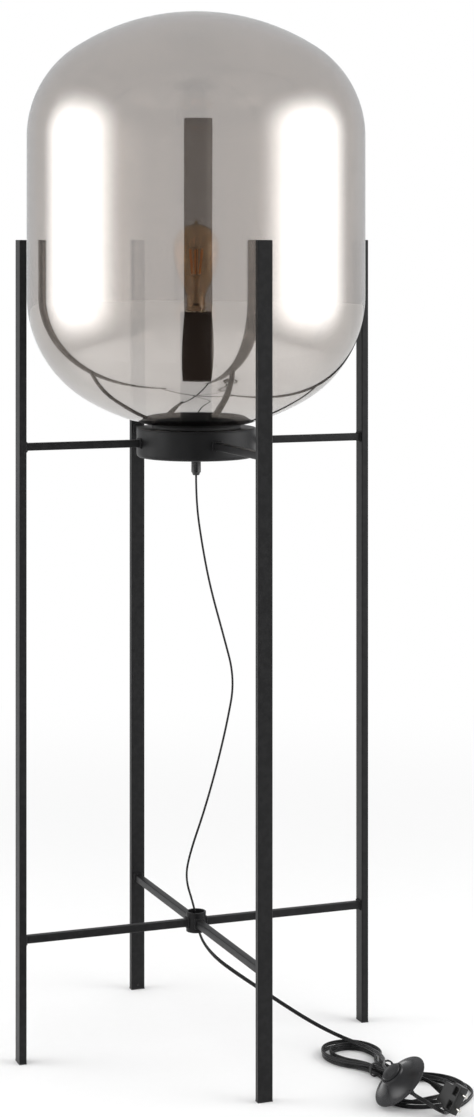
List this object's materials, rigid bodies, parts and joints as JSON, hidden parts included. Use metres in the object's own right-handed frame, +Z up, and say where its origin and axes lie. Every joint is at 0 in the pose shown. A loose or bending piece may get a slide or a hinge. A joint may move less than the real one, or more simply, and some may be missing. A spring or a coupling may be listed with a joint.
{
  "type": "globe floor lamp",
  "caption": "Floor lamp: oval glass globe on a black drum between four slim square legs, with a screw bulb on a sleeve, a twin cord, a foot switch and a two-pin plug.",
  "frame": {"origin": "on the floor, on the lamp's upright axis", "axes": "+Z up; the crossbars and the legs lie along X and Y; the cord's hank lies towards +X and -Y"},
  "size_m": [0.5173, 0.6545, 1.4],
  "materials": {
    "black_metal": "satin black powder coat",
    "foot_plastic": "matt",
    "gasket": "matt",
    "zinc_steel": "bright zinc",
    "black_plastic": "satin",
    "wire_sleeve": "gloss",
    "ceramic_white": "glazed",
    "brass": "polished",
    "mirrored_glass": "clear, lightly mirrored",
    "amber_glass": "amber tint",
    "bulb_metal": "bright",
    "bulb_insulator": "gloss",
    "stem_glass": "clear",
    "filament": "matt",
    "cord": "satin",
    "tie": "satin",
    "switch_plastic": "satin gloss",
    "plug_plastic": "satin",
    "nickel": "bright nickel"
  },
  "bodies": {
    "stand": {"leg_right": "black_metal", "leg_cap_right": "black_metal", "upper_bar_right": "black_metal", "lower_bar_right": "black_metal", "leg_back": "black_metal", "leg_cap_back": "black_metal", "upper_bar_back": "black_metal", "lower_bar_back": "black_metal", "leg_left": "black_metal", "leg_cap_left": "black_metal", "upper_bar_left": "black_metal", "lower_bar_left": "black_metal", "leg_front": "black_metal", "leg_cap_front": "black_metal", "upper_bar_front": "black_metal", "lower_bar_front": "black_metal", "hub": "black_metal", "leg_welds": "black_metal", "drum_welds": "black_metal", "hub_welds": "black_metal", "drum_casing": "black_metal", "drum_plate": "black_metal", "lamp_sleeve": "black_metal", "foot_plug_right": "foot_plastic", "foot_plug_back": "foot_plastic", "foot_plug_left": "foot_plastic", "foot_plug_front": "foot_plastic", "glass_gasket": "gasket", "threaded_tube": "zinc_steel", "tube_nuts": "zinc_steel", "tube_washers": "zinc_steel", "cord_grip": "black_plastic", "inner_wires": "wire_sleeve", "holder_shell": "black_plastic", "holder_insert": "ceramic_white", "holder_screw_shell": "brass", "centre_contact": "brass", "cord_drop": "cord", "cord_to_hank": "cord", "cord_hank": "cord", "cord_to_plug": "cord", "cord_tie": "tie", "switch_cover": "switch_plastic", "switch_base": "switch_plastic", "switch_spring": "zinc_steel", "switch_contacts": "brass", "switch_screws": "zinc_steel", "switch_bushes": "cord", "plug_body": "plug_plastic", "plug_pins": "nickel"},
    "shade": {"glass_shade": "mirrored_glass"},
    "lamp_bulb": {"bulb_glass": "amber_glass", "bulb_cap": "bulb_metal", "bulb_insulator": "bulb_insulator", "bulb_contact": "bulb_metal", "bulb_stem": "stem_glass", "bulb_filaments": "filament", "bulb_supports": "zinc_steel"},
    "button": {"switch_button": "switch_plastic", "switch_plunger": "foot_plastic"}
  },
  "joints": [
    {"name": "shade_lift", "type": "slide", "parent": "stand", "child": "shade", "axis": [0, 0, 1], "range_m": [0, 0.3]},
    {"name": "bulb_turn", "type": "hinge", "parent": "stand", "child": "lamp_bulb", "pos_m": [0, 0, 0.98], "axis": [0, 0, 1], "range_deg": [0, 1260]},
    {"name": "button_press", "type": "slide", "parent": "stand", "child": "button", "axis": [0.6677, -0.0432, -0.7431], "range_m": [0, 0.003], "stiffness_N_per_m": 800, "springref_m": -0.002, "deforming": ["switch_spring"]}
  ]
}
